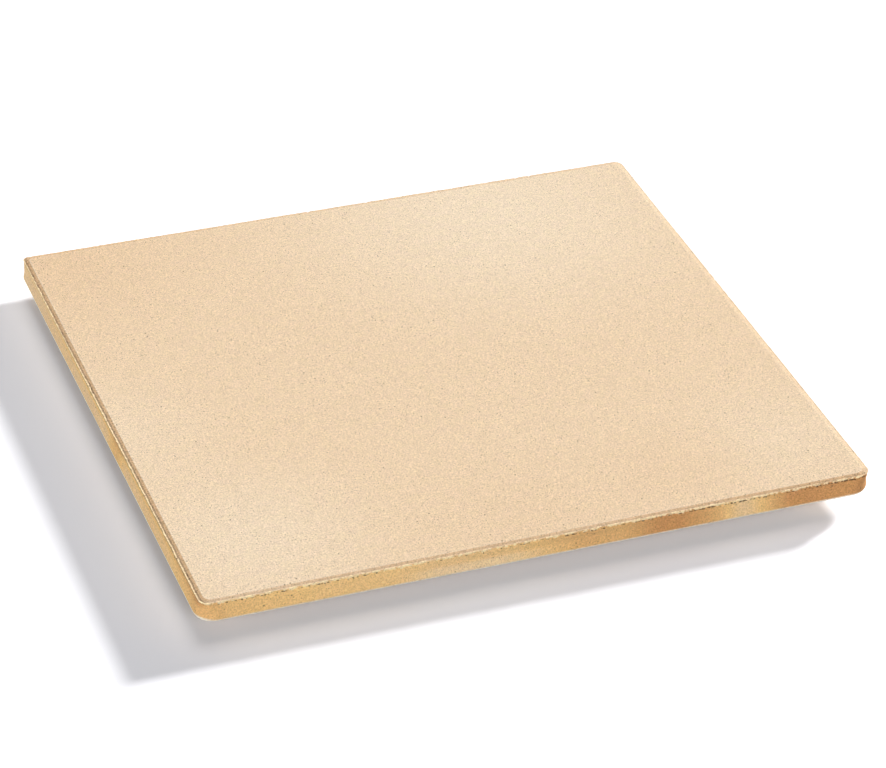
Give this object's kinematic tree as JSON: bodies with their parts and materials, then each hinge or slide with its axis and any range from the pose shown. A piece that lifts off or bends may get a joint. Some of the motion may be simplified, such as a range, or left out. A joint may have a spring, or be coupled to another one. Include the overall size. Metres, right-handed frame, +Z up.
{
  "type": "pizza stone",
  "caption": "Rectangular baking stone for an oven or grill: a flat unglazed ceramic slab with rounded corners and a rough sloping rim band, raised on low round feet.",
  "frame": {"origin": "on the surface that the stone stands on, under the middle of the slab", "axes": "+X along the long side to the right as seen from the front, +Y from the front to the back, +Z up out of the baking face"},
  "size_m": [0.3792, 0.3542, 0.0215],
  "materials": {
    "slab_cordierite": "unglazed, fine matt grain",
    "foot_cordierite": "unglazed, fine matt grain",
    "refractory_cement": "matt, finger-wiped"
  },
  "bodies": {
    "root": {"baking_slab": "slab_cordierite", "foot_front_left": "foot_cordierite", "cement_front_left": "refractory_cement", "foot_front_right": "foot_cordierite", "cement_front_right": "refractory_cement", "foot_back_left": "foot_cordierite", "cement_back_left": "refractory_cement", "foot_back_right": "foot_cordierite", "cement_back_right": "refractory_cement"}
  },
  "joints": []
}
